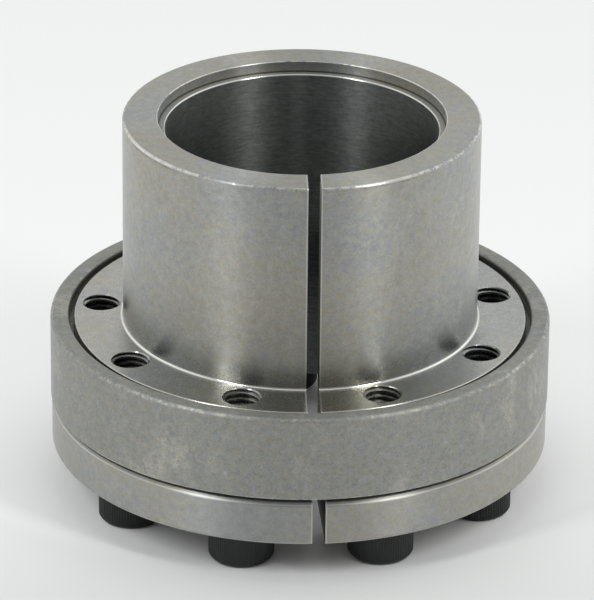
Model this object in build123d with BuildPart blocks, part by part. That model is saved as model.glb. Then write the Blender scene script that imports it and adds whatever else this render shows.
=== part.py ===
from build123d import *

import os
from math import cos, radians, sin, tan

# Keyless locking assembly: a slit sleeve and a slit rear ring clamp a shaft, while a
# double-taper ring between them grips the bore of a wheel or hub. Socket head screws
# draw the two cones together. Millimetres, +Z along the shaft towards the sleeve's end,
# origin on the shaft's axis, in the plane that the screw heads stand on.

os.makedirs("parts", exist_ok=True)

# Shaft and hub that the assembly joins
shaft_dia = 54.0
hub_bore_dia = 100.0

# Socket head screws and the holes that hold them
screw_count = 9
screw_inset = 5.3
screw_dia = 8.0
screw_length = 22.0
screw_end_edge = 1.0
head_dia = 13.0
head_height = 8.0
head_edge = 0.8
socket_width = 6.0
socket_depth = 4.0
thread_clearance = 0.05
tap_mouth_edge = 0.2
screw_hole_clearance = 0.2
screw_hole_edge = 0.3

# Sleeve with its tapped flange, in one piece
sleeve_wall = 8.45
sleeve_length = 42.75
sleeve_edge = 0.5
foot_fillet = 1.0
recess_step = 1.5
recess_depth = 2.25
recess_edge = 0.2
bore_edge = 0.3
flange_thickness = 11.5
flange_sink = 0.7
flange_edge = 0.3
flange_land = 2.6
tail_wall = 3.2
tail_clearance = 0.08
tail_edge = 0.2

# Outer ring
outer_ring_width = 17.3
outer_ring_rim = 4.7
outer_ring_edge = 0.8
outer_ring_foot_edge = 0.3
mouth_clearance = 1.0
mouth_edge = 0.7

# Rear ring
rear_rim_width = 9.05
rear_rim_clearance = 0.2
rear_ring_edge = 0.7
rear_ring_gap = 0.9
nose_gap = 1.3
nose_edge = 0.2

# Tapers and slits
taper_angle = 4.0
taper_clearance = 0.05
slit_width = 2.5
slit_edge = 0.25
sleeve_slit_skew = 2.0
rear_slit_turn = 0.75

# Heights along the shaft, from the floor under the heads up to the sleeve's end
rear_ring_back = head_height
rear_rim_top = rear_ring_back + rear_rim_width
outer_ring_bottom = rear_rim_top + rear_ring_gap
outer_ring_top = outer_ring_bottom + outer_ring_width
flange_top = outer_ring_top - flange_sink
flange_bottom = flange_top - flange_thickness
nose_top = flange_bottom - nose_gap
sleeve_top = flange_top + sleeve_length
recess_floor = sleeve_top - recess_depth
land_bottom = flange_top - flange_land
waist_height = (flange_bottom + nose_top) / 2

# Radii, with the outer ring's two tapers meeting at its waist
slope = tan(radians(taper_angle))
shaft_radius = shaft_dia / 2
sleeve_radius = shaft_radius + sleeve_wall
recess_radius = shaft_radius + recess_step
tail_radius = shaft_radius + tail_wall
rear_bore_radius = tail_radius + tail_clearance
outer_radius = hub_bore_dia / 2
rear_radius = outer_radius - rear_rim_clearance
flange_radius = outer_radius - outer_ring_rim
mouth_radius = flange_radius + mouth_clearance
seat_radius = flange_radius + taper_clearance
waist_radius = seat_radius - slope * (land_bottom - waist_height)
ring_foot_radius = waist_radius + slope * (waist_height - outer_ring_bottom)
flange_foot_radius = flange_radius - slope * (land_bottom - flange_bottom)
nose_foot_radius = waist_radius - taper_clearance + slope * (waist_height - rear_rim_top)
nose_tip_radius = waist_radius - taper_clearance + slope * (waist_height - nose_top)

# The screws stand evenly round their circle, with the front slits between two of them
circle_radius = flange_radius - screw_inset
screw_step = 360 / screw_count
first_screw = -90 + screw_step / 2
thread_radius = screw_dia / 2 + thread_clearance
screw_hole_radius = screw_dia / 2 + screw_hole_clearance


def corner(profile, radius, height):
    """The corner of a ring's half section that stands at this radius and height."""
    return profile.vertices().sort_by_distance((radius, height))[0]


def upright_edges(edges, radius):
    """Those edges that run along the shaft at this distance from its axis."""
    upright = edges.filter_by(Axis.Z)
    shaft_line = Vector(0, 0, 1)
    return [edge for edge in upright if abs(edge.center().cross(shaft_line).length - radius) < slit_edge]


# Sleeve that grips the shaft, with the front cone and its tapped holes round its foot,
# and a thinner tail that runs on through the rear ring
with BuildPart() as slit_sleeve:
    with BuildSketch(Plane.XZ) as sleeve_section:
        with BuildLine():
            Polyline(
                (shaft_radius, rear_ring_back),
                (tail_radius, rear_ring_back),
                (tail_radius, flange_bottom),
                (flange_foot_radius, flange_bottom),
                (flange_radius, land_bottom),
                (flange_radius, flange_top),
                (sleeve_radius, flange_top),
                (sleeve_radius, sleeve_top),
                (recess_radius, sleeve_top),
                (recess_radius, recess_floor),
                (shaft_radius, recess_floor),
                close=True,
            )
        make_face()
        fillet(corner(sleeve_section, sleeve_radius, flange_top), radius=foot_fillet)
        chamfer(corner(sleeve_section, sleeve_radius, sleeve_top), length=sleeve_edge)
        chamfer(corner(sleeve_section, flange_radius, flange_top), length=flange_edge)
        chamfer(corner(sleeve_section, recess_radius, sleeve_top), length=recess_edge)
        chamfer(corner(sleeve_section, shaft_radius, recess_floor), length=bore_edge)
        chamfer(corner(sleeve_section, shaft_radius, rear_ring_back), length=bore_edge)
        chamfer(corner(sleeve_section, tail_radius, rear_ring_back), length=tail_edge)
    revolve(axis=Axis.Z)
    with Locations((0, 0, flange_top)):
        with PolarLocations(circle_radius, screw_count, start_angle=first_screw):
            CounterSinkHole(
                radius=thread_radius,
                counter_sink_radius=thread_radius + tap_mouth_edge,
                counter_sink_angle=90,
            )
    with BuildSketch(Plane.XY.offset(rear_ring_back)):
        with Locations(Location((0, -circle_radius), -sleeve_slit_skew)):
            Rectangle(slit_width, circle_radius)
    extrude(amount=sleeve_top - rear_ring_back, mode=Mode.SUBTRACT)
    chamfer(upright_edges(slit_sleeve.edges(Select.LAST), sleeve_radius), length=slit_edge)
slit_sleeve.part.label = "slit_sleeve"
export_step(slit_sleeve.part, "parts/slit_sleeve.step")


# Outer ring with a taper from each end, relieved at the mouth and slit at the back
with BuildPart() as outer_ring:
    with BuildSketch(Plane.XZ) as outer_section:
        with BuildLine():
            Polyline(
                (ring_foot_radius, outer_ring_bottom),
                (outer_radius, outer_ring_bottom),
                (outer_radius, outer_ring_top),
                (mouth_radius, outer_ring_top),
                (mouth_radius, land_bottom),
                (seat_radius, land_bottom),
                (waist_radius, waist_height),
                close=True,
            )
        make_face()
        chamfer(corner(outer_section, outer_radius, outer_ring_bottom), length=outer_ring_foot_edge)
        chamfer(corner(outer_section, outer_radius, outer_ring_top), length=outer_ring_edge)
        chamfer(corner(outer_section, mouth_radius, outer_ring_top), length=mouth_edge)
        chamfer(corner(outer_section, ring_foot_radius, outer_ring_bottom), length=outer_ring_foot_edge)
    revolve(axis=Axis.Z)
    with BuildSketch(Plane.XY.offset(outer_ring_bottom)):
        with Locations((0, outer_radius)):
            Rectangle(slit_width, outer_radius)
    extrude(amount=outer_ring_width, mode=Mode.SUBTRACT)
    chamfer(upright_edges(outer_ring.edges(Select.LAST), outer_radius), length=slit_edge)
outer_ring.part.label = "outer_ring"
export_step(outer_ring.part, "parts/outer_ring.step")


# Rear ring round the sleeve's tail, with the rear cone on its nose and a clear hole for each screw
with BuildPart() as rear_ring:
    with BuildSketch(Plane.XZ) as rear_section:
        with BuildLine():
            Polyline(
                (rear_bore_radius, rear_ring_back),
                (rear_radius, rear_ring_back),
                (rear_radius, rear_rim_top),
                (nose_foot_radius, rear_rim_top),
                (nose_tip_radius, nose_top),
                (rear_bore_radius, nose_top),
                close=True,
            )
        make_face()
        chamfer(corner(rear_section, rear_radius, rear_ring_back), length=rear_ring_edge)
        chamfer(corner(rear_section, rear_radius, rear_rim_top), length=rear_ring_edge)
        chamfer(corner(rear_section, nose_tip_radius, nose_top), length=nose_edge)
        chamfer(corner(rear_section, rear_bore_radius, nose_top), length=bore_edge)
        chamfer(corner(rear_section, rear_bore_radius, rear_ring_back), length=bore_edge)
    revolve(axis=Axis.Z)
    with Locations(Plane(origin=(0, 0, rear_ring_back), x_dir=(1, 0, 0), z_dir=(0, 0, -1))):
        with PolarLocations(circle_radius, screw_count, start_angle=-first_screw):
            CounterSinkHole(
                radius=screw_hole_radius,
                counter_sink_radius=screw_hole_radius + screw_hole_edge,
                counter_sink_angle=90,
            )
    with BuildSketch(Plane.XY.offset(rear_ring_back).rotated((0, 0, rear_slit_turn))):
        with Locations((0, -circle_radius)):
            Rectangle(slit_width, circle_radius)
    extrude(amount=nose_top - rear_ring_back, mode=Mode.SUBTRACT)
    chamfer(upright_edges(rear_ring.edges(Select.LAST), rear_radius), length=slit_edge)
rear_ring.part.label = "rear_ring"
export_step(rear_ring.part, "parts/rear_ring.step")


# Socket head screws, with their heads against the back of the rear ring
for number in range(screw_count):
    bearing = radians(first_screw + number * screw_step)
    seat = Plane(origin=(circle_radius * cos(bearing), circle_radius * sin(bearing), rear_ring_back))
    with BuildPart(seat) as screw:
        Cylinder(head_dia / 2, head_height, align=(Align.CENTER, Align.CENTER, Align.MAX))
        chamfer(screw.edges().filter_by(GeomType.CIRCLE).sort_by(Axis.Z)[0], length=head_edge)
        Cylinder(screw_dia / 2, screw_length, align=(Align.CENTER, Align.CENTER, Align.MIN))
        chamfer(screw.edges().filter_by(GeomType.CIRCLE).sort_by(Axis.Z)[-1], length=screw_end_edge)
        with BuildSketch(seat.offset(-head_height)):
            RegularPolygon(socket_width / 2, side_count=6, major_radius=False)
        extrude(amount=socket_depth, mode=Mode.SUBTRACT)
    screw.part.label = f"screw_{number + 1}"
    export_step(screw.part, f"parts/screw_{number + 1}.step")
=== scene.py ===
"""A keyless locking assembly: a slit sleeve and two slit rings, drawn together by screws."""

import logging
from dataclasses import dataclass
from enum import Enum
from math import atan2, cos, hypot, pi, radians, sin, tan
from typing import Callable, Sequence

import bpy
from mathutils import Matrix, Vector


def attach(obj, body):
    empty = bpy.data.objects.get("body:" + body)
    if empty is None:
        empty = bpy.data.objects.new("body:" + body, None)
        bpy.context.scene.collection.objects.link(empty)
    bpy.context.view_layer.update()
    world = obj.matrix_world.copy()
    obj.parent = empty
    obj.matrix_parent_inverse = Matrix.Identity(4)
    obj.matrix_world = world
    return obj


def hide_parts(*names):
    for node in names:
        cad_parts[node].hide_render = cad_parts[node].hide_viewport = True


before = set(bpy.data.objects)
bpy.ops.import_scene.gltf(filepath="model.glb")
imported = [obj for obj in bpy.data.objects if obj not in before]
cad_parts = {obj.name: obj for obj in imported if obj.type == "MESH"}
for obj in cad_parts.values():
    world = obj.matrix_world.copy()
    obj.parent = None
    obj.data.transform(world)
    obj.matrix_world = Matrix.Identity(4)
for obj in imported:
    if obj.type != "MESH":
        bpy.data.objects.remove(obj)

LOG = logging.getLogger("locking_assembly")
MM = 0.001
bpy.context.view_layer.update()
TAPER = radians(4.0)
ROUND_STEPS = 288
Point = tuple[float, float]
Span = tuple[float, float]
Place = tuple[float, float, float]
Colour = tuple[float, float, float]
Tone = Colour | bpy.types.NodeSocket


# ---------------------------------------------------------------------------------------
# Layout, in millimetres and degrees
# ---------------------------------------------------------------------------------------


@dataclass(frozen=True)
class HoleCircle:
    """The circle that the screws and their holes stand on, evenly from the first one's angle."""

    count: int = 9
    radius: float = 40.0
    first: float = -70.0

    def places(self) -> list[Point]:
        """The middle of each hole."""
        angles = [radians(self.first + 360 / self.count * i) for i in range(self.count)]
        return [(self.radius * cos(angle), self.radius * sin(angle)) for angle in angles]


@dataclass(frozen=True)
class Slit:
    """A sawn slit through one side of a ring, turned about its own middle by some degrees."""

    width: float
    centre: Point
    turn: float = 0.0
    length: float = 48.0

    def heading(self) -> Point:
        """The cosine and sine of the slit's turn."""
        return cos(radians(self.turn)), sin(radians(self.turn))

    def saw(self, low: float, high: float) -> bpy.types.Object:
        """Makes the block that the slit is cut with.

        Args:
            low: the height that the cut starts at.
            high: the height that it ends at.

        Returns:
            The block.
        """
        Bench.clear()
        x, y = self.centre
        bpy.ops.mesh.primitive_cube_add(
            size=MM,
            location=(x * MM, y * MM, (low + high) / 2 * MM),
            rotation=(0, 0, radians(self.turn)),
            scale=(self.width, self.length, high - low),
        )
        return Bench.named("slit_saw")

    def along(self, point: Vector) -> Point:
        """How far a point lies from the slit's middle plane, and from its middle along it.

        Args:
            point: the point.

        Returns:
            Both distances, the second with its sign.
        """
        x, y = point.x - self.centre[0], point.y - self.centre[1]
        cosine, sine = self.heading()
        return abs(x * cosine + y * sine), -x * sine + y * cosine

    def lips(self) -> Callable[[Vector, Vector], bool]:
        """A test for edges that lie in the slit's walls.

        Returns:
            A function that says so of an edge's two ends.
        """
        reach = self.length / 2 + 0.5

        def wanted(first: Vector, last: Vector) -> bool:
            """Says whether both ends lie in a wall of the slit."""
            ends = [self.along(first), self.along(last)]
            return all(abs(off - self.width / 2) < 0.002 and abs(way) < reach for off, way in ends)

        return wanted


# ---------------------------------------------------------------------------------------
# Shader nodes
# ---------------------------------------------------------------------------------------


class Value:
    """A shader socket or a plain number that Python's operators add Math nodes to."""

    def __init__(self, sheet: "Sheet", source: bpy.types.NodeSocket | float) -> None:
        """Keeps the sheet that new nodes go into, and an output socket or a number."""
        self.sheet = sheet
        self.source = source

    def _math(self, operation: str, *others: "Value | float") -> "Value":
        """Adds one Math node that has this value as its first input.

        Args:
            operation: what the node works out.
            others: its other inputs.

        Returns:
            What it works out.
        """
        inputs = dict(enumerate((self, *others)))
        node = self.sheet.node("ShaderNodeMath", {"operation": operation}, inputs)
        return Value(self.sheet, node.outputs[0])

    def __add__(self, other: "Value | float") -> "Value":
        """self + other."""
        return self._math("ADD", other)

    __radd__ = __add__

    def __sub__(self, other: "Value | float") -> "Value":
        """self - other."""
        return self._math("SUBTRACT", other)

    def __rsub__(self, other: float) -> "Value":
        """other - self."""
        return Value(self.sheet, other)._math("SUBTRACT", self)

    def __mul__(self, other: "Value | float") -> "Value":
        """self * other."""
        return self._math("MULTIPLY", other)

    __rmul__ = __mul__

    def __pow__(self, other: float) -> "Value":
        """self to the power of other."""
        return self._math("POWER", other)

    def __abs__(self) -> "Value":
        """The size of self, without its sign."""
        return self._math("ABSOLUTE")

    def hypot(self, other: "Value") -> "Value":
        """The diagonal of a rectangle whose sides are self and other."""
        return (self * self + other * other) ** 0.5

    def angle(self, across: "Value") -> "Value":
        """The angle, in radians, of a point that lies self up and across to the right."""
        return self._math("ARCTAN2", across)

    def wrapped(self, low: float, high: float) -> "Value":
        """self brought between low and high by whole steps of their difference."""
        return self._math("WRAP", high, low)

    def cos(self) -> "Value":
        """The cosine of self, in radians."""
        return self._math("COSINE")

    def sin(self) -> "Value":
        """The sine of self, in radians."""
        return self._math("SINE")

    def above(self, low: float, high: float) -> "Value":
        """A smooth step up.

        Args:
            low: the value up to which the step is 0.
            high: the value from which it is 1.

        Returns:
            The step.
        """
        node = self.sheet.node(
            "ShaderNodeMapRange",
            {"interpolation_type": "SMOOTHSTEP"},
            {"Value": self, "From Min": low, "From Max": high},
        )
        return Value(self.sheet, node.outputs["Result"])

    def below(self, low: float, high: float) -> "Value":
        """A smooth step down, from 1 below low to 0 above high."""
        return 1 - self.above(low, high)


class Sheet:
    """A sheet of shader nodes."""

    def __init__(self, tree: bpy.types.NodeTree) -> None:
        """Keeps the node tree that the nodes go into."""
        self.tree = tree

    def node(
        self,
        kind: str,
        settings: dict[str, object] | None = None,
        values: dict[str | int, object] | None = None,
    ) -> bpy.types.Node:
        """Adds one node.

        Args:
            kind: the node's type.
            settings: its own settings, set first.
            values: a number, colour, socket or Value for each input, by name or number.

        Returns:
            The new node.
        """
        node = self.tree.nodes.new(kind)
        for key, setting in (settings or {}).items():
            setattr(node, key, setting)
        for key, value in (values or {}).items():
            if isinstance(value, Value):
                value = value.source
            if isinstance(value, bpy.types.NodeSocket):
                self.tree.links.new(value, node.inputs[key])
            else:
                node.inputs[key].default_value = value
        return node

    def blend(self, mask: Value, first: Tone, second: Tone) -> bpy.types.NodeSocket:
        """A colour that goes from first to second as the mask goes from 0 to 1.

        Args:
            mask: how much of the second colour there is.
            first: the colour where the mask is 0.
            second: the colour where the mask is 1.

        Returns:
            The mixed colour.
        """
        node = self.node(
            "ShaderNodeMix",
            {"data_type": "RGBA", "clamp_factor": True},
            {0: mask, 6: self._rgba(first), 7: self._rgba(second)},
        )
        return node.outputs[2]

    def shade(self, colour: Tone, by: Value) -> bpy.types.NodeSocket:
        """A colour made darker or lighter by a value."""
        node = self.node("ShaderNodeVectorMath", {"operation": "SCALE"}, {0: colour, "Scale": by})
        return node.outputs[0]

    @staticmethod
    def _rgba(colour: Tone) -> tuple[float, ...] | bpy.types.NodeSocket:
        """A colour with its alpha, or the socket as it is."""
        return (*colour, 1.0) if isinstance(colour, tuple) else colour


@dataclass(frozen=True)
class Noise:
    """Soft noise: its lumps in a metre, its finer layers, and how strong those are."""

    scale: float
    layers: float = 2.0
    strength: float = 0.5


class Trace(Enum):
    """What a thin line painted into a machined part's colour shows: a worn edge with a painted
    highlight, or painted shade.
    """

    # A worn edge, lightened by a painted highlight as well.
    WORN_AND_HIGHLIGHT = (0.62, 0.62, 0.59)
    # Painted shade in corners, in gaps and under edges.
    SHADED = (0.05, 0.047, 0.038)


@dataclass(frozen=True)
class Line:
    """A thin line round the axis, on an edge or in a corner, in millimetres.

    It is painted into the colour, as a worn edge with a painted highlight or as painted shade, and
    fades out at its reach. Noise breaks it up where it is below the broken value, and shine says
    how smooth a rubbed line is.
    """

    radius: float
    height: float
    reach: float
    trace: Trace = Trace.WORN_AND_HIGHLIGHT
    strength: float = 1.0
    broken: float = 0.0
    shine: float = 1.0


class Shader(Sheet):
    """One material's nodes, with a Principled surface and Object coordinates to start from."""

    def __init__(self, name: str) -> None:
        """Makes the material and empties it.

        Args:
            name: the material's name.
        """
        self.material = bpy.data.materials.new(name)
        self.material.use_nodes = True
        super().__init__(self.material.node_tree)
        self.tree.nodes.clear()
        self.output = self.node("ShaderNodeOutputMaterial")
        self.place = self.node("ShaderNodeTexCoord").outputs["Object"]
        axes = self.node("ShaderNodeSeparateXYZ", {}, {"Vector": self.place})
        self.x, self.y, self.z = (Value(self, axes.outputs[i]) for i in range(3))
        self.radius = self.x.hypot(self.y)

    def noise(self, kind: Noise, at: bpy.types.NodeSocket | None = None) -> Value:
        """Soft noise from 0 to 1.

        Args:
            kind: how coarse and how layered it is.
            at: the coordinates, or the object's own where it is left out.

        Returns:
            The noise as a value.
        """
        node = self.node(
            "ShaderNodeTexNoise",
            {},
            {
                "Vector": at or self.place,
                "Scale": kind.scale,
                "Detail": kind.layers,
                "Roughness": kind.strength,
            },
        )
        return Value(self, node.outputs[0])

    def specks(self, scale: float) -> Value:
        """The distance to the nearest of many scattered points, in cells."""
        node = self.node("ShaderNodeTexVoronoi", {}, {"Vector": self.place, "Scale": scale})
        return Value(self, node.outputs["Distance"])

    def vector(self, x: Value, y: Value | float, z: Value) -> bpy.types.NodeSocket:
        """A vector from three values."""
        return self.node("ShaderNodeCombineXYZ", {}, {"X": x, "Y": y, "Z": z}).outputs[0]

    def line(self, line: Line) -> Value:
        """1 on a line round the axis, and 0 away from it."""
        across, up = self.radius - line.radius * MM, self.z - line.height * MM
        return across.hypot(up).below(line.reach * 0.5 * MM, line.reach * MM)

    def traced(self, tone: Tone, lines: Sequence[Line], patches: Value) -> tuple[Tone, Value]:
        """Paints thin lines into a colour: worn edges with painted highlights, and painted shade.

        Args:
            tone: the colour so far.
            lines: the lines.
            patches: soft noise that breaks a line up.

        Returns:
            The colour, and how far the surface is rubbed smooth.
        """
        smooth = Value(self, 0.0)
        for line in lines:
            mask = self.line(line) * line.strength
            if line.broken:
                mask = mask * patches.above(line.broken, line.broken + 0.12)
            tone = self.blend(mask, tone, line.trace.value)
            if line.trace is Trace.WORN_AND_HIGHLIGHT:
                smooth = smooth + mask * line.shine
        return tone, smooth

    def from_slit(self, slit: Slit) -> Value:
        """The distance from a slit's middle plane, with a metre added past its ends.

        Args:
            slit: the slit.

        Returns:
            The distance, in metres.
        """
        x, y = self.x - slit.centre[0] * MM, self.y - slit.centre[1] * MM
        cosine, sine = slit.heading()
        end = slit.length / 2 * MM
        past = abs(y * cosine - x * sine).above(end, end + 0.0005)
        return abs(x * cosine + y * sine) + past

    def from_holes(self, holes: HoleCircle) -> Value:
        """The distance from the nearest axis of a circle of holes.

        Args:
            holes: the circle of holes.

        Returns:
            The distance, in metres.
        """
        half = pi / holes.count
        turned = (self.y.angle(self.x) - radians(holes.first)).wrapped(-half, half)
        across = self.radius * turned.cos() - holes.radius * MM
        return across.hypot(self.radius * turned.sin())

    def bump(self, height: Value, depth: float) -> bpy.types.NodeSocket:
        """A normal from a height, where depth is what a height of 1 stands for, in metres."""
        values = {"Strength": 1.0, "Distance": depth, "Height": height}
        return self.node("ShaderNodeBump", {}, values).outputs[0]

    def surface(self, values: dict[str, object]) -> bpy.types.Material:
        """Ends the material with a Principled surface.

        Args:
            values: the surface's inputs.

        Returns:
            The finished material.
        """
        shader = self.node("ShaderNodeBsdfPrincipled", {}, values)
        self.tree.links.new(shader.outputs[0], self.output.inputs["Surface"])
        return self.material

    def bare_steel(
        self, tone: Tone, rough: Value, grain: float, normal: bpy.types.NodeSocket
    ) -> bpy.types.Material:
        """Ends the material with bare steel whose fine marks run round the axis.

        Args:
            tone: its colour.
            rough: its roughness.
            grain: how strongly its marks stretch what it mirrors.
            normal: its normal.

        Returns:
            The finished material.
        """
        return self.surface(
            {
                "Base Color": tone,
                "Metallic": 1.0,
                "Roughness": rough,
                "Anisotropic": grain,
                "Anisotropic Rotation": 0.25,
                "Normal": normal,
            }
        )


# ---------------------------------------------------------------------------------------
# Finishes
# ---------------------------------------------------------------------------------------


@dataclass(frozen=True)
class TurnedSteel:
    """Satin turned steel with fine turning marks, a grain and faint warm and cool clouds.

    The bore is a radius, the deck is the height of the face that the tapped holes go down from,
    and below calm the steel is a little smoother, in millimetres. What is 0 or None is left out.
    The lip is how far the middle of the slit's bright lip, worn and with a painted highlight, lies
    from its wall, and a span says where a smooth step starts and ends, in metres or in a noise's own
    values.
    """

    name: str
    lines: tuple[Line, ...]
    slit: Slit
    holes: HoleCircle | None = None
    bore: float = 0.0
    deck: float = 0.0
    calm: float = 0.0
    mottling: float = 1.0
    colour: Colour = (0.337, 0.340, 0.314)
    bored: Colour = (0.200, 0.214, 0.206)
    warm: Colour = (0.325, 0.312, 0.262)
    cool: Colour = (0.285, 0.298, 0.300)
    stain: Colour = (0.205, 0.205, 0.190)
    warm_span: Span = (0.47, 0.61)
    cool_span: Span = (0.40, 0.53)
    stain_span: Span = (0.50, 0.62)
    hole_shade_span: Span = (0.0041, 0.0043)
    deep_shade_span: Span = (0.054, 0.076)
    lip: float = 0.00013
    lip_highlight_span: Span = (0.00008, 0.00024)
    roughness: float = 0.45
    grain: float = 0.9
    turning_depth: float = 1.5e-6
    marks: Noise = Noise(7000.0, 2.0, 0.6)
    feed: Noise = Noise(2200.0, 3.0, 0.7)
    cloud: Noise = Noise(95.0, 5.0, 0.60)
    drift: Noise = Noise(38.0, 3.0)
    tint: Noise = Noise(900.0, 4.0, 0.8)
    mottle: Noise = Noise(620.0, 3.0, 0.7)
    fine: Noise = Noise(2600.0, 3.0, 0.8)

    def build(self) -> bpy.types.Material:
        """Makes the material.

        Returns:
            The finished material.
        """
        s = Shader(self.name)
        cloud, drift, tint = s.noise(self.cloud), s.noise(self.drift), s.noise(self.tint)
        mottle, fine = s.noise(self.mottle), s.noise(self.fine)
        speckle = (fine - 0.5) * 0.58 + (mottle - 0.5) * 0.50 + (cloud - 0.5) * 0.24
        tone = self._clouded(s, cloud, drift * 0.4 + tint * 0.6)
        tone, shade, inside = self._bored(s, tone, 1 + speckle * self.mottling)
        tone, smooth = s.traced(s.shade(tone, shade), self.lines, drift * 0.5 + tint * 0.5)
        tone = self._shade_in_holes(s, self._slit_highlight_and_shade(s, tone))
        rough = self.roughness + (cloud - 0.5) * 0.10 + (fine - 0.5) * 0.08
        rough = rough - smooth * 0.2 - inside * 0.05
        if self.calm:
            rough = rough - s.z.below(self.calm * MM - 0.010, self.calm * MM) * 0.19
        marks = s.noise(self.marks, s.vector(s.radius, 0.0, s.z))
        normal = s.bump(marks * 0.7 + fine * 0.3, self.turning_depth)
        return s.bare_steel(tone, rough, self.grain, normal)

    def _clouded(self, s: Shader, cloud: Value, drift: Value) -> bpy.types.NodeSocket:
        """The steel's colour with its warm and cool clouds and its few stains.

        Args:
            s: the material's nodes.
            cloud: the noise that gathers the stains.
            drift: the noise that tints the steel.

        Returns:
            The colour.
        """
        spots = s.specks(260.0).below(0.02, 0.10) * cloud.above(*self.stain_span)
        tone = s.blend(drift.above(*self.warm_span) * self.mottling, self.colour, self.warm)
        tone = s.blend(drift.below(*self.cool_span) * self.mottling, tone, self.cool)
        return s.blend(spots * 0.7, tone, self.stain)

    def _bored(self, s: Shader, tone: Tone, shade: Value) -> tuple[Tone, Value, Value]:
        """Gives the bore a darker colour and the marks of its feed, with painted shade deeper down.

        Args:
            s: the material's nodes.
            tone: the colour so far.
            shade: how much lighter or darker it is from place to place.

        Returns:
            The colour, its shade, and a mask that is 1 inside the bore.
        """
        if not self.bore:
            return tone, shade, Value(s, 0.0)
        edge = self.bore * MM
        inside = s.radius.below(edge + 0.0001, edge + 0.0004)
        feed = s.noise(self.feed, s.vector(s.x * 0.2, s.y * 0.2, s.z))
        # Painted shade, deeper down in the bore.
        deep = s.z.below(*self.deep_shade_span)
        shade = shade * (1 + inside * (feed - 0.5) * 1.2) * (1 - inside * deep * 0.12)
        return s.blend(inside * 0.9, tone, self.bored), shade, inside

    def _slit_highlight_and_shade(self, s: Shader, tone: Tone) -> bpy.types.NodeSocket:
        """The colour with the slit's lips lightened, worn and with a painted highlight, and painted
        shade on its walls.

        Args:
            s: the material's nodes.
            tone: the colour so far.

        Returns:
            The colour.
        """
        off, half = s.from_slit(self.slit), self.slit.width / 2 * MM
        # Worn lips with a painted highlight, and painted shade on the slit's walls.
        lip = abs(off - half - self.lip).below(*self.lip_highlight_span)
        wall = off.below(half - 0.00002, half + 0.00003)
        return s.shade(s.blend(lip * 0.5, tone, Trace.WORN_AND_HIGHLIGHT.value), 1 - wall * 0.7)

    def _shade_in_holes(self, s: Shader, tone: Tone) -> Tone:
        """The colour, with painted shade down in the tapped holes.

        Args:
            s: the material's nodes.
            tone: the colour so far.

        Returns:
            The colour.
        """
        if not self.holes:
            return tone
        deck = self.deck * MM
        # Painted shade, down inside the holes.
        sunk = s.z.below(deck - 0.0008, deck - 0.0004)
        near = s.from_holes(self.holes).below(*self.hole_shade_span)
        return s.shade(tone, 1 - near * sunk * 0.12)


@dataclass(frozen=True)
class TumbledSteel:
    """Steel tumbled to a matte, mottled grey, with thin lines of wear with painted highlights, and
    of painted shade.

    A span says where a smooth step starts and ends, in a noise's own values.
    """

    name: str
    lines: tuple[Line, ...]
    colour: Colour = (0.276, 0.281, 0.263)
    light: Colour = (0.392, 0.389, 0.350)
    warm: Colour = (0.268, 0.258, 0.218)
    cool: Colour = (0.235, 0.250, 0.253)
    light_span: Span = (0.50, 0.66)
    warm_span: Span = (0.50, 0.64)
    cool_span: Span = (0.38, 0.50)
    roughness: float = 0.58
    grain: float = 0.6
    pit_depth: float = 7e-6
    cloud: Noise = Noise(80.0, 5.0, 0.62)
    streak: Noise = Noise(150.0, 3.0, 0.55)
    tint: Noise = Noise(900.0, 4.0, 0.8)
    mottle: Noise = Noise(800.0, 3.0, 0.7)
    fine: Noise = Noise(3000.0, 4.0, 0.8)

    def build(self) -> bpy.types.Material:
        """Makes the material.

        Returns:
            The finished material.
        """
        s = Shader(self.name)
        cloud, tint = s.noise(self.cloud), s.noise(self.tint)
        mottle, fine = s.noise(self.mottle), s.noise(self.fine)
        streak = s.noise(self.streak, s.vector(s.x, s.y, s.z * 0.45))
        patches = (cloud * 0.5 + streak * 0.5).above(*self.light_span)
        tone = s.blend(patches * 0.92, self.colour, self.light)
        tone = s.blend(tint.above(*self.warm_span) * 0.8, tone, self.warm)
        tone = s.blend(tint.below(*self.cool_span) * 0.8, tone, self.cool)
        tone = s.shade(tone, 0.17 + fine * 1.02 + mottle * 0.64)
        tone, smooth = s.traced(tone, self.lines, tint * 0.7 + cloud * 0.3)
        rough = self.roughness + (cloud - 0.5) * 0.12 + (fine - 0.5) * 0.10 - smooth * 0.2
        pits = fine * 0.7 + s.specks(2600.0) * 0.3
        return s.bare_steel(tone, rough, self.grain, s.bump(pits, self.pit_depth))


@dataclass(frozen=True)
class BlackOxide:
    """Black oxide on steel, lightly oiled."""

    name: str
    colour: Colour = (0.0075, 0.0095, 0.0085)
    worn: Colour = (0.022, 0.025, 0.023)
    roughness: float = 0.42
    grain_depth: float = 4e-6
    cloud: Noise = Noise(260.0, 3.0)
    fine: Noise = Noise(2400.0)

    def build(self) -> bpy.types.Material:
        """Makes the material.

        Returns:
            The finished material.
        """
        s = Shader(self.name)
        cloud = s.noise(self.cloud)
        return s.surface(
            {
                "Base Color": s.blend(cloud.above(0.45, 0.8) * 0.5, self.colour, self.worn),
                "Metallic": 0.0,
                "Roughness": self.roughness + (cloud - 0.5) * 0.2,
                "Specular IOR Level": 0.3,
                "Normal": s.bump(s.noise(self.fine), self.grain_depth),
            }
        )


# ---------------------------------------------------------------------------------------
# Modelling steps
# ---------------------------------------------------------------------------------------


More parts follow.
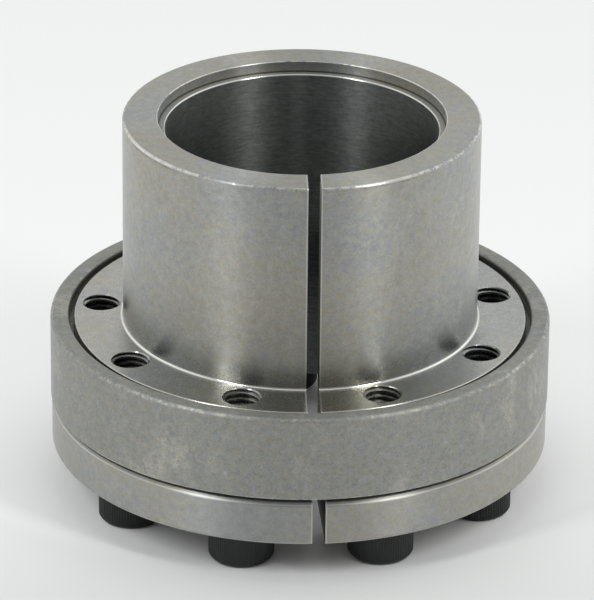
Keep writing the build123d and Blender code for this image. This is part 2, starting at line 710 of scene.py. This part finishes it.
class Bench:
    """Modelling steps that each use Blender's own tools. Sizes come in millimetres."""

    @staticmethod
    def clear() -> None:
        """Deselects every object."""
        if bpy.context.object and bpy.context.object.mode == "EDIT":
            bpy.ops.object.mode_set(mode="OBJECT")
        bpy.ops.object.select_all(action="DESELECT")

    @staticmethod
    def hold(piece: bpy.types.Object) -> None:
        """Makes one object the only selected and active one.

        Args:
            piece: the object.
        """
        Bench.clear()
        piece.select_set(True)
        bpy.context.view_layer.objects.active = piece

    @staticmethod
    def named(name: str) -> bpy.types.Object:
        """Names the object that has just been added, and puts its place into its mesh.

        Args:
            name: the name, of its mesh as well.

        Returns:
            The object.
        """
        piece = bpy.context.object
        piece.name = name
        piece.data.name = name
        bpy.ops.object.transform_apply(location=True, rotation=True, scale=True)
        return piece

    @staticmethod
    def edit(piece: bpy.types.Object, mode: str = "VERT") -> None:
        """Opens one object in edit mode with nothing selected.

        Args:
            piece: the object.
            mode: what is selected there: VERT, EDGE or FACE.
        """
        Bench.hold(piece)
        bpy.ops.object.mode_set(mode="EDIT")
        bpy.ops.mesh.select_mode(type=mode)
        bpy.ops.mesh.select_all(action="DESELECT")

    @staticmethod
    def close() -> None:
        """Leaves edit mode."""
        bpy.ops.object.mode_set(mode="OBJECT")

    @staticmethod
    def draw(name: str, points: Sequence[Point]) -> bpy.types.Object:
        """Draws an open or closed line in the XZ plane, one extruded vertex after another.

        Args:
            name: the new object's name.
            points: radius and height of each point.

        Returns:
            The line as a mesh object.
        """
        Bench.clear()
        start = Vector((points[0][0], 0, points[0][1])) * MM
        bpy.ops.mesh.primitive_plane_add(size=MM, location=start)
        line = Bench.named(name)
        bpy.ops.object.mode_set(mode="EDIT")
        bpy.ops.mesh.select_mode(type="VERT")
        bpy.ops.mesh.select_all(action="SELECT")
        bpy.ops.mesh.merge(type="CENTER")
        for before, after in zip(points, points[1:]):
            step = Vector((after[0] - before[0], 0, after[1] - before[1])) * MM
            bpy.ops.mesh.extrude_region_move(TRANSFORM_OT_translate={"value": step})
        Bench.close()
        return line

    @staticmethod
    def turn(name: str, line: Sequence[Point], steps: int = ROUND_STEPS) -> bpy.types.Object:
        """Spins a half section once round the shaft's axis.

        Args:
            name: the new object's name.
            line: radius and height of each point of the section, a closed line or one that
                starts and ends on the axis.
            steps: how many faces go round.

        Returns:
            The turned piece, closed, with its faces outwards.
        """
        piece = Bench.draw(name, line)
        bpy.ops.object.mode_set(mode="EDIT")
        bpy.ops.mesh.select_all(action="SELECT")
        bpy.ops.mesh.spin(steps=steps, angle=2 * pi, center=(0, 0, 0), axis=(0, 0, 1))
        Bench.tidy()
        Bench.close()
        return piece

    @staticmethod
    def tidy(gap: float = 1e-7) -> None:
        """Merges doubles and turns every face outwards, in edit mode.

        Args:
            gap: how near doubles are, in metres.
        """
        bpy.ops.mesh.select_all(action="SELECT")
        bpy.ops.mesh.remove_doubles(threshold=gap)
        bpy.ops.mesh.normals_make_consistent(inside=False)
        bpy.ops.mesh.select_all(action="DESELECT")

    @staticmethod
    def apply(piece: bpy.types.Object, kind: str, **settings: object) -> None:
        """Adds one modifier to a piece and applies it.

        Args:
            piece: the piece.
            kind: the modifier's type.
            **settings: its settings.
        """
        Bench.hold(piece)
        modifier = piece.modifiers.new(kind.lower(), kind)
        for key, setting in settings.items():
            setattr(modifier, key, setting)
        bpy.ops.object.modifier_apply(modifier=modifier.name)

    @staticmethod
    def cut(
        piece: bpy.types.Object, cutter: bpy.types.Object, operation: str = "DIFFERENCE"
    ) -> None:
        """Cuts one closed piece with another, and takes the cutter away."""
        Bench.apply(piece, "BOOLEAN", operation=operation, object=cutter, solver="EXACT")
        bpy.data.objects.remove(cutter)

    @staticmethod
    def soften(
        piece: bpy.types.Object,
        wanted: Callable[[Vector, Vector], bool],
        width: float,
        rounds: int = 2,
        sharp: float = 30.0,
    ) -> None:
        """Rounds those sharp edges of a piece whose two ends are wanted.

        Args:
            piece: the piece.
            wanted: says of an edge's two ends, in millimetres, whether it is rounded.
            width: how wide the rounding is.
            rounds: how many faces it has.
            sharp: the least angle between the edge's faces, in degrees.
        """
        Bench.edit(piece, "EDGE")
        bpy.ops.mesh.edges_select_sharp(sharpness=radians(sharp))
        Bench.close()
        corners = piece.data.vertices
        for edge in piece.data.edges:
            ends = [corners[i].co / MM for i in edge.vertices]
            edge.select = edge.select and wanted(*ends)
        for part in (*piece.data.polygons, *corners):
            part.select = False
        for edge in piece.data.edges:
            if edge.select:
                for i in edge.vertices:
                    corners[i].select = True
        bpy.ops.object.mode_set(mode="EDIT")
        bpy.ops.mesh.select_mode(type="EDGE")
        bpy.ops.mesh.bevel(offset=width * MM, segments=rounds, profile=0.5, clamp_overlap=True)
        Bench.tidy()
        Bench.close()

    @staticmethod
    def polish(piece: bpy.types.Object, angle: float = 32.0) -> None:
        """Shades a piece smooth up to an angle, with its flat faces kept flat.

        Args:
            piece: the piece.
            angle: the angle between two faces, in degrees.
        """
        Bench.hold(piece)
        bpy.ops.object.shade_smooth_by_angle(angle=radians(angle))
        Bench.apply(piece, "WEIGHTED_NORMAL", weight=100, keep_sharp=True)

    @staticmethod
    def dress(piece: bpy.types.Object, material: bpy.types.Material) -> None:
        """Gives a piece one material and no other."""
        piece.data.materials.clear()
        piece.data.materials.append(material)

    @staticmethod
    def copy(piece: bpy.types.Object, name: str, place: Point) -> bpy.types.Object:
        """Copies a piece with its own mesh and moves the copy, place and all, into the mesh.

        Args:
            piece: the piece.
            name: the copy's name.
            place: how far the copy moves, across and along.

        Returns:
            The copy.
        """
        Bench.hold(piece)
        bpy.ops.object.duplicate(linked=False)
        twin = bpy.context.object
        twin.location = (place[0] * MM, place[1] * MM, 0)
        return Bench.named(name)

    @staticmethod
    def spread(first: bpy.types.Object, places: Sequence[Point]) -> bpy.types.Object:
        """Copies an object to several places and joins the copies into one.

        Args:
            first: the object, which is taken away.
            places: where the copies go.

        Returns:
            The joined copies.
        """
        copies = [Bench.copy(first, f"{first.name}_{i}", place) for i, place in enumerate(places)]
        bpy.data.objects.remove(first)
        Bench.clear()
        for piece in copies:
            piece.select_set(True)
        bpy.context.view_layer.objects.active = copies[0]
        bpy.ops.object.join()
        return copies[0]


def rounded(corners: Sequence[Place], faces: int = 4) -> list[Point]:
    """A closed half section whose corners are rounded.

    Args:
        corners: radius, height and rounding of each corner, in millimetres.
        faces: how many faces each rounding has.

    Returns:
        The section's points in the same order, with the first again at the end.
    """
    points: list[Point] = []
    for i, (x, z, size) in enumerate(corners):
        here = Vector((x, z))
        if size <= 0:
            points.append((x, z))
            continue
        back = (Vector(corners[i - 1][:2]) - here).normalized()
        ahead = (Vector(corners[(i + 1) % len(corners)][:2]) - here).normalized()
        half = back.angle(ahead) / 2
        reach = size / tan(half)
        middle = here + (back + ahead).normalized() * size / sin(half)
        first = here + back * reach - middle
        last = here + ahead * reach - middle
        turn = first.angle_signed(last)
        for k in range(faces + 1):
            spoke = first.copy()
            spoke.rotate(Matrix.Rotation(-turn * k / faces, 2))
            points.append(tuple(middle + spoke))
    return [*points, points[0]]


@dataclass(frozen=True)
class Thread:
    """A coarse metric thread, cut as one long helix and trimmed flat at both ends.

    The radius is the tapped hole's, and the screw's is less by the play between them. Start is
    the angle that the helix is turned by, in degrees.
    """

    radius: float = 4.05
    pitch: float = 1.25
    depth: float = 0.68
    start: float = 7.0
    steps: int = 36

    def rod(self, name: str, low: float, high: float, play: float = 0.0) -> bpy.types.Object:
        """Makes a closed threaded rod on the Z axis.

        Args:
            name: the new object's name.
            low: the height of its lower end.
            high: the height of its upper end.
            play: how much smaller its radius is than the thread's own.

        Returns:
            The rod.
        """
        first = (int(low / self.pitch) - 2) * self.pitch
        rod = Bench.draw(name, self._tooth(first, self.radius - play))
        Bench.apply(
            rod,
            "SCREW",
            angle=2 * pi,
            screw_offset=self.pitch * MM,
            iterations=int((high - first) / self.pitch) + 3,
            steps=self.steps,
            render_steps=self.steps,
            use_merge_vertices=True,
            merge_threshold=1e-7,
        )
        Bench.edit(rod)
        bpy.ops.mesh.select_all(action="SELECT")
        bpy.ops.mesh.remove_doubles(threshold=2e-7)
        for height, lower in ((low, True), (high, False)):
            bpy.ops.mesh.select_all(action="SELECT")
            bpy.ops.mesh.bisect(
                plane_co=(0, 0, height * MM),
                plane_no=(0, 0, 1),
                use_fill=True,
                clear_inner=lower,
                clear_outer=not lower,
            )
        bpy.ops.mesh.select_all(action="SELECT")
        start = radians(self.start)
        bpy.ops.transform.rotate(value=start, orient_axis="Z", center_override=(0, 0, 0))
        Bench.tidy()
        Bench.close()
        return rod

    def _tooth(self, low: float, crest: float) -> list[Point]:
        """The thread's outline over one pitch, from the foot of a crest to the foot of the next.

        Args:
            low: the height of its first crest.
            crest: the crest's radius.

        Returns:
            Its points, upwards.
        """
        root, flat = crest - self.depth, self.pitch / 8
        return [
            (crest, low - flat / 2),
            (crest, low + flat / 2),
            (root, low + self.pitch / 2 - flat),
            (root, low + self.pitch / 2 + flat),
            (crest, low + self.pitch - flat / 2),
        ]


# ---------------------------------------------------------------------------------------
# The assembly's pieces
# ---------------------------------------------------------------------------------------


@dataclass
class SlitSleeve:
    """The slit sleeve with its flange, front cone and tapped holes, in one piece.

    The radii are the bore's, the thin tail's, the wall's above the flange, the recess's and the
    flange's rim. The heights are the back, the cone's low end, the land that it ends at, the
    flange's top, the recess's floor and the sleeve's end. The mouth is a tapped hole's radius at
    the top, and below calm the steel is smoother.
    """

    thread: Thread
    holes: HoleCircle
    bore: float = 27.0
    tail: float = 30.2
    wall: float = 35.45
    recess: float = 28.5
    rim: float = 45.3
    back: float = 8.0
    low: float = 23.05
    top: float = 34.55
    land: float = 31.95
    floor: float = 75.05
    end: float = 77.3
    mouth: float = 3.8
    mouth_depth: float = 1.2
    calm: float = 46.0
    slit: Slit = Slit(2.5, (0.0, -40.0), -2.0)

    def section(self) -> list[Point]:
        """The half section, with its roundings.

        Returns:
            Its points.
        """
        cone_end = self.rim - tan(TAPER) * (self.land - self.low)
        return rounded(
            [
                (self.bore, self.back, 0.3),
                (self.tail, self.back, 0.2),
                (self.tail, self.low, 0.0),
                (cone_end, self.low, 0.3),
                (self.rim, self.land, 0.0),
                (self.rim, self.top, 0.35),
                (self.wall, self.top, 0.5),
                (self.wall, self.end, 0.6),
                (self.recess, self.end, 0.2),
                (self.recess, self.floor, 0.1),
                (self.recess - 0.4, self.floor, 0.0),
                (self.bore, self.floor, 0.35),
            ]
        )

    def finish(self) -> TurnedSteel:
        """The sleeve's steel, with worn edges and painted highlights on them, and painted shade in
        its corners.

        Returns:
            The finish.
        """
        # Painted into the colour: a painted highlight along the flange's foot; worn edges with
        # painted highlights at the top, the recess's rim, the bore's edge and the flange's rim;
        # painted shade under the top edge and in the recess's corner.
        lines = (
            Line(self.wall + 0.17, self.top + 0.17, 0.46),
            Line(self.wall - 0.17, self.end - 0.17, 0.42, strength=0.8, broken=0.44),
            Line(self.wall - 0.03, self.end - 0.75, 0.22, Trace.SHADED, 0.35, 0.48),
            Line(self.recess + 0.03, self.end - 0.03, 0.22, strength=0.8, broken=0.40),
            Line(self.recess, self.floor, 0.34, Trace.SHADED, 0.85),
            Line(self.bore + 0.1, self.floor - 0.1, 0.24, strength=0.8),
            Line(self.rim - 0.1, self.top - 0.1, 0.26, strength=0.3, shine=0.0),
        )
        return TurnedSteel(
            "sleeve_finish", lines, self.slit, self.holes, self.bore, self.top, self.calm
        )

    def build(self) -> bpy.types.Object:
        """Models the sleeve, gives it its finish and puts it on its body.

        Returns:
            The sleeve.
        """
        sleeve = Bench.turn("sleeve", self.section())
        Bench.cut(sleeve, self.slit.saw(self.back - 2, self.end + 2))
        Bench.soften(sleeve, self.slit.lips(), 0.2)
        places = self.holes.places()
        Bench.cut(sleeve, Bench.spread(self._countersink(), places))
        tap = self.thread.rod("tap", self.low - 1, self.top + 1)
        Bench.cut(sleeve, Bench.spread(tap, places))
        Bench.polish(sleeve)
        Bench.dress(sleeve, self.finish().build())
        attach(sleeve, "slit_sleeve")
        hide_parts("slit_sleeve")
        return sleeve

    def _countersink(self, lift: float = 0.02) -> bpy.types.Object:
        """Makes the cone that gives a tapped hole its mouth.

        Args:
            lift: how far its middle lies above the flange.

        Returns:
            The cone.
        """
        Bench.clear()
        half = self.mouth_depth / 2
        bpy.ops.mesh.primitive_cone_add(
            vertices=64,
            radius1=(self.mouth - half - lift) * MM,
            radius2=(self.mouth + half - lift) * MM,
            depth=self.mouth_depth * MM,
            location=(0, 0, (self.top + lift) * MM),
        )
        return Bench.named("countersink")


@dataclass
class OuterRing:
    """The outer ring, with a taper from each end and a slit at the back.

    The radii are the outside's, the mouth's round the flange and the seat's, where its taper is
    widest. The heights are the low end, the waist where the two tapers meet, the land between
    the seat and the mouth, and the top.
    """

    outside: float = 50.0
    low: float = 17.95
    top: float = 35.25
    mouth: float = 46.3
    seat: float = 45.35
    land: float = 31.95
    waist: float = 22.4
    slit: Slit = Slit(2.5, (0.0, 50.0))

    def section(self) -> list[Point]:
        """The half section, with its roundings.

        Returns:
            Its points.
        """
        slope = tan(TAPER)
        waist = self.seat - slope * (self.land - self.waist)
        foot = waist + slope * (self.waist - self.low)
        return rounded(
            [
                (foot, self.low, 0.25),
                (self.outside, self.low, 0.3),
                (self.outside, self.top, 0.95),
                (self.mouth, self.top, 0.8),
                (self.mouth, self.land, 0.0),
                (self.seat, self.land, 0.0),
                (waist, self.waist, 0.0),
            ]
        )

    def finish(self) -> TumbledSteel:
        """The ring's steel, with worn edges and painted highlights on them, and painted shade in its
        mouth.

        Returns:
            The finish.
        """
        # Worn edges with painted highlights round the top, the mouth and the low end, and painted
        # shade in the mouth.
        lines = (
            Line(self.outside - 0.28, self.top - 0.28, 0.46, strength=0.45, broken=0.49),
            Line(self.mouth, self.top - 1.0, 0.85, Trace.SHADED, 0.85),
            Line(self.mouth + 0.3, self.top - 0.1, 0.30, strength=0.5, broken=0.54),
            Line(self.outside - 0.1, self.low + 0.1, 0.30, strength=0.5, broken=0.45),
        )
        return TumbledSteel("ring_finish", lines)

    def build(self) -> bpy.types.Object:
        """Models the ring, gives it its finish and puts it on its body.

        Returns:
            The ring.
        """
        ring = Bench.turn("double_taper_ring", self.section())
        Bench.cut(ring, self.slit.saw(self.low - 2, self.top + 2))
        Bench.soften(ring, self.slit.lips(), 0.25)
        Bench.polish(ring)
        Bench.dress(ring, self.finish().build())
        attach(ring, "outer_ring")
        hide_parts("outer_ring")
        return ring


@dataclass
class RearRing:
    """The rear ring, with the rear cone on its nose and a clear hole for each screw.

    The radii are the bore's, the outside's, the nose's at its foot and tip, and a clear hole's.
    The heights are the back, the rim that the nose stands on, and the nose's end.
    """

    holes: HoleCircle
    bore: float = 30.28
    outside: float = 49.8
    back: float = 8.0
    rim: float = 17.05
    nose: float = 21.75
    nose_foot: float = 45.006
    nose_tip: float = 44.677
    hole: float = 4.2
    slit: Slit = Slit(2.5, (0.5236, -39.9966), 0.75)

    def section(self) -> list[Point]:
        """The half section, with its roundings.

        Returns:
            Its points.
        """
        return rounded(
            [
                (self.bore, self.back, 0.4),
                (self.outside - 0.65, self.back, 0.2),
                (self.outside, self.back + 0.65, 0.4),
                (self.outside, self.rim - 0.7, 0.4),
                (self.outside - 0.7, self.rim, 0.12),
                (self.nose_foot, self.rim, 0.0),
                (self.nose_tip, self.nose, 0.2),
                (self.bore, self.nose, 0.4),
            ]
        )

    def finish(self) -> TurnedSteel:
        """The ring's steel, a little darker than the sleeve's, with worn edges and painted
        highlights on them.

        Returns:
            The finish.
        """
        # Worn edges with painted highlights at the rim and at the back.
        lines = (
            Line(self.outside - 0.14, self.rim - 0.35, 0.30, strength=0.6, shine=0.0),
            Line(self.outside - 0.35, self.back + 0.3, 0.5, strength=0.2, shine=0.0),
        )
        colour = (0.315, 0.320, 0.305)
        return TurnedSteel("rear_finish", lines, self.slit, mottling=0.9, colour=colour)

    def build(self) -> bpy.types.Object:
        """Models the ring, gives it its finish and puts it on its body.

        Returns:
            The ring.
        """
        ring = Bench.turn("rear_clamp_ring", self.section())
        Bench.cut(ring, self.slit.saw(self.back - 2, self.nose + 2))
        Bench.soften(ring, self.slit.lips(), 0.25, 3)
        Bench.cut(ring, Bench.spread(self._drill(), self.holes.places()))
        Bench.polish(ring)
        Bench.dress(ring, self.finish().build())
        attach(ring, "rear_ring")
        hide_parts("rear_ring")
        return ring

    def _drill(self) -> bpy.types.Object:
        """Makes the plain cylinder that a clear hole is cut with.

        Returns:
            The cylinder.
        """
        Bench.clear()
        bpy.ops.mesh.primitive_cylinder_add(
            vertices=64,
            radius=self.hole * MM,
            depth=(self.nose - self.back + 2) * MM,
            location=(0, 0, (self.nose + self.back) / 2 * MM),
        )
        return Bench.named("drill")


@dataclass
class SocketScrew:
    """A socket head cap screw: knurled head with a hexagon socket, and a threaded shank.

    Head is the head's radius, back the height that it reaches, end the height that the shank
    reaches, and edge the size of the rounding of the head's face. Play is left in the thread.
    """

    thread: Thread
    head: float = 6.5
    back: float = 8.0
    end: float = 30.0
    edge: float = 1.05
    ridges: int = 72
    ridge_depth: float = 0.10
    across_flats: float = 6.0
    socket_depth: float = 4.0
    play: float = 0.05

    def model(self) -> bpy.types.Object:
        """Models one screw on the Z axis.

        Returns:
            The screw.
        """
        head = self._head()
        self._raise_ridges(head)
        Bench.cut(head, self._hexagon())
        shank = self.thread.rod("shank", self.back - 0.5, self.end + 0.8, self.play)
        Bench.cut(shank, self._blank(), "INTERSECT")
        Bench.cut(head, shank, "UNION")
        return head

    def _root(self) -> float:
        """The radius of the head between its ridges."""
        return self.head - self.ridge_depth

    def _head(self) -> bpy.types.Object:
        """Turns the head to its ridges' roots.

        Returns:
            The head, with four faces to a ridge.
        """
        root = self._root()
        # The rounded edge, inwards and upwards, in shares of its size.
        curve = ((1.0, 0.0), (0.62, 0.18), (0.30, 0.52))
        line = [
            (0.0, 0.0),
            *((self.head - self.edge * inward, self.edge * up) for inward, up in curve),
            (root, self.edge * 1.05),
            (root, self.back - 0.35),
            (root - 0.3, self.back),
            (0.0, self.back),
        ]
        return Bench.turn("knurled_head", line, 4 * self.ridges)

    def _raise_ridges(self, head: bpy.types.Object) -> None:
        """Raises two of every four lines of corners round the head, which makes its knurl.

        Args:
            head: the turned head.
        """
        root, sides = self._root(), 4 * self.ridges
        for part in (*head.data.polygons, *head.data.edges, *head.data.vertices):
            part.select = False
        for corner in head.data.vertices:
            x, y, _ = corner.co / MM
            step = round(atan2(y, x) / (2 * pi) * sides) % 4
            corner.select = abs(hypot(x, y) - root) < 0.01 and step in (0, 1)
        bpy.ops.object.mode_set(mode="EDIT")
        bpy.ops.mesh.select_mode(type="VERT")
        by = self.head / root
        bpy.ops.transform.resize(value=(by, by, 1.0), center_override=(0, 0, 0))
        Bench.close()

    def _hexagon(self) -> bpy.types.Object:
        """Makes the hexagonal bar that the socket is cut with.

        Returns:
            The bar.
        """
        Bench.clear()
        bpy.ops.mesh.primitive_cylinder_add(
            vertices=6,
            radius=self.across_flats / 2 / cos(radians(30)) * MM,
            depth=2 * self.socket_depth * MM,
            location=(0, 0, 0),
        )
        return Bench.named("hexagon")

    def _blank(self, axis: float = 0.0001, short: float = 0.001) -> bpy.types.Object:
        """Turns the blank that gives the shank its pointed end.

        Args:
            axis: a radius so small that all the corners on it merge into one.
            short: how far the tip stays short of the screw's full length.

        Returns:
            The blank.
        """
        low, tip = self.back - 1.0, self.end - short
        reach = self.thread.radius + 0.5
        line = [
            (axis, low),
            (reach, low),
            (reach, self.end - 1.2),
            (self.thread.radius - 0.9, tip),
            (axis, tip),
            (axis, low),
        ]
        return Bench.turn("blank", line, 64)


@dataclass
class ScrewSet:
    """The ring of screws."""

    screw: SocketScrew
    holes: HoleCircle

    def build(self) -> list[bpy.types.Object]:
        """Models one screw, copies it to every place and puts each copy on its body.

        Returns:
            The screws.
        """
        first = self.screw.model()
        Bench.polish(first)
        finish = BlackOxide("screw_finish").build()
        screws = []
        for i, place in enumerate(self.holes.places()):
            copy = Bench.copy(first, f"socket_screw_{i + 1}", place)
            Bench.dress(copy, finish)
            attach(copy, f"screw_{i + 1}")
            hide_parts(f"screw_{i + 1}")
            screws.append(copy)
        bpy.data.objects.remove(first)
        return screws


# ---------------------------------------------------------------------------------------
# Studio, in metres
# ---------------------------------------------------------------------------------------


@dataclass(frozen=True)
class SoftBox:
    """A soft rectangular lamp that points at the assembly."""

    name: str
    place: Place
    size: Point
    power: float
    target: Place = (0.0, 0.0, 0.04)

    def build(self) -> None:
        """Hangs the lamp."""
        lamp = bpy.data.lights.new(self.name, "AREA")
        lamp.shape = "RECTANGLE"
        lamp.size, lamp.size_y = self.size
        lamp.energy = self.power
        holder = bpy.data.objects.new(self.name, lamp)
        bpy.context.scene.collection.objects.link(holder)
        holder.location = self.place
        aim = Vector(self.target) - Vector(self.place)
        holder.rotation_euler = aim.to_track_quat("-Z", "Y").to_euler()


@dataclass
class Studio:
    """Floor, pale surroundings, lamps and camera.

    The camera's elevation, yaw, pitch and roll are in radians, and turned, its angle round the
    assembly, is in degrees. It looks at a point that is raised above the floor. The surround has
    its own tone in front, at the back and on each side, and those are what the steel mirrors.
    """

    distance: float = 1.0873
    elevation: float = 0.457241
    yaw: float = 0.000593
    pitch: float = 0.021468
    roll: float = -0.010838
    lens: float = 322.58
    turned: float = 4.0
    raised: float = 0.01166
    # The floor's front tones are painted shade: darker in front of the assembly, where it is seen
    # and in what the steel mirrors.
    floor_front_shade: Colour = (0.86, 0.86, 0.86)
    floor_back: Colour = (1.0, 1.0, 1.0)
    floor_seen: Colour = (0.732, 0.742, 0.738)
    floor_near_shadow: Colour = (0.626, 0.638, 0.633)
    front_tone: Colour = (0.30, 0.30, 0.30)
    back_tone: Colour = (1.02, 1.02, 1.02)
    left_tone: Colour = (1.25, 1.25, 1.25)
    right_tone: Colour = (1.50, 1.50, 1.50)
    boxes: tuple[SoftBox, ...] = (
        SoftBox("left_box", (-0.63, -0.43, 0.76), (0.14, 0.50), 2.9),
        SoftBox("right_box", (0.55, -0.52, 0.76), (0.14, 0.50), 3.0),
    )

    def build(self) -> None:
        """Sets up everything that isn't part of the assembly."""
        self._floor()
        self._world()
        for box in self.boxes:
            box.build()
        self._camera()

    def _floor(self) -> None:
        """A pale floor, of one tone where it is seen and another in what the steel mirrors, both
        with painted shade in front.
        """
        Bench.clear()
        bpy.ops.mesh.primitive_plane_add(size=6.0)
        floor = Bench.named("studio_floor")
        s = Shader("pale_floor")
        seen = Value(s, s.node("ShaderNodeLightPath").outputs["Is Camera Ray"])
        # Painted shade in front, in what the steel mirrors.
        bounced = s.blend(s.y.above(-0.15, 0.25), self.floor_front_shade, self.floor_back)
        # A painted shadow in front of the assembly, where the floor is seen.
        shown = s.blend(s.y.below(-0.065, -0.015), self.floor_seen, self.floor_near_shadow)
        tone = s.blend(seen, bounced, s.shade(shown, self._lift(s)))
        values = {"Base Color": tone, "Roughness": 0.55, "Specular IOR Level": 0.2}
        Bench.dress(floor, s.surface(values))

    @staticmethod
    def _lift(s: Shader) -> Value:
        """How much paler the floor is in the lamps' shadows and under the rings.

        Args:
            s: the floor's nodes.

        Returns:
            The lift, 1 away from them.
        """
        # The wedge beside and behind the assembly is where the lamps' shadows lie. Its sides
        # lean the way the lamps shine, and the lift keeps the shadows soft.
        wedge = (s.y * 0.77 - abs(s.x) * 0.64).above(-0.058, -0.048) * s.y.below(0.01, 0.11)
        under = s.radius.below(0.0445, 0.0500)
        return wedge * s.y.above(-0.050, -0.028) * 0.095 + under * 0.16 + 1

    def _world(self) -> None:
        """A pale surround, dark in front and brightest at the sides."""
        world = bpy.data.worlds.new("pale_surround")
        bpy.context.scene.world = world
        world.use_nodes = True
        world.node_tree.nodes.clear()
        s = Sheet(world.node_tree)
        way = s.node("ShaderNodeTexCoord").outputs["Generated"]
        parts = s.node("ShaderNodeSeparateXYZ", {}, {"Vector": way})
        side, depth = (Value(s, parts.outputs[i]) for i in (0, 1))
        flank = depth.above(-0.25, 0.15)
        tone = s.blend(depth.above(-0.85, -0.15), self.front_tone, self.back_tone)
        tone = s.blend(side.below(-0.80, -0.35) * flank, tone, self.left_tone)
        tone = s.blend(side.above(0.35, 0.80) * flank, tone, self.right_tone)
        glow = s.node("ShaderNodeBackground", {}, {"Color": tone, "Strength": 1.0})
        s.node("ShaderNodeOutputWorld", {}, {"Surface": glow.outputs[0]})

    def _camera(self) -> None:
        """The camera, at its viewing angle."""
        lens = bpy.data.cameras.new("camera")
        lens.lens = self.lens
        lens.sensor_width = 36.0
        camera = bpy.data.objects.new("camera", lens)
        bpy.context.scene.collection.objects.link(camera)
        back, up = cos(self.elevation), sin(self.elevation)
        eye = Vector((0, -self.distance * back, self.distance * up))
        ahead = -eye.normalized()
        right = Vector((1, 0, 0))
        tilt = Matrix.Rotation(self.roll, 3, "Z") @ Matrix.Rotation(self.pitch, 3, "X")
        tilt = tilt @ Matrix.Rotation(self.yaw, 3, "Y")
        axes = tilt @ Matrix((right, right.cross(ahead), ahead))
        spin = Matrix.Rotation(radians(-self.turned), 3, "Z")
        right, above, ahead = (spin @ Vector(row) for row in axes)
        place = spin @ eye + Vector((0, 0, self.raised))
        facing = Matrix((right, above, -ahead)).transposed().to_4x4()
        camera.matrix_world = Matrix.Translation(place) @ facing
        bpy.context.scene.camera = camera


def main() -> None:
    """Builds the assembly and its studio."""
    logging.basicConfig(level=logging.INFO, format="%(message)s")
    thread, holes = Thread(), HoleCircle()
    sleeve = SlitSleeve(thread, holes).build()
    ring = OuterRing().build()
    rear = RearRing(holes).build()
    screws = ScrewSet(SocketScrew(thread), holes).build()
    for piece in (sleeve, ring, rear, *screws):
        LOG.info("%s: %d faces", piece.name, len(piece.data.polygons))
    Studio().build()
    bpy.context.scene.view_settings.view_transform = "Standard"


if __name__ == "__main__":
    main()
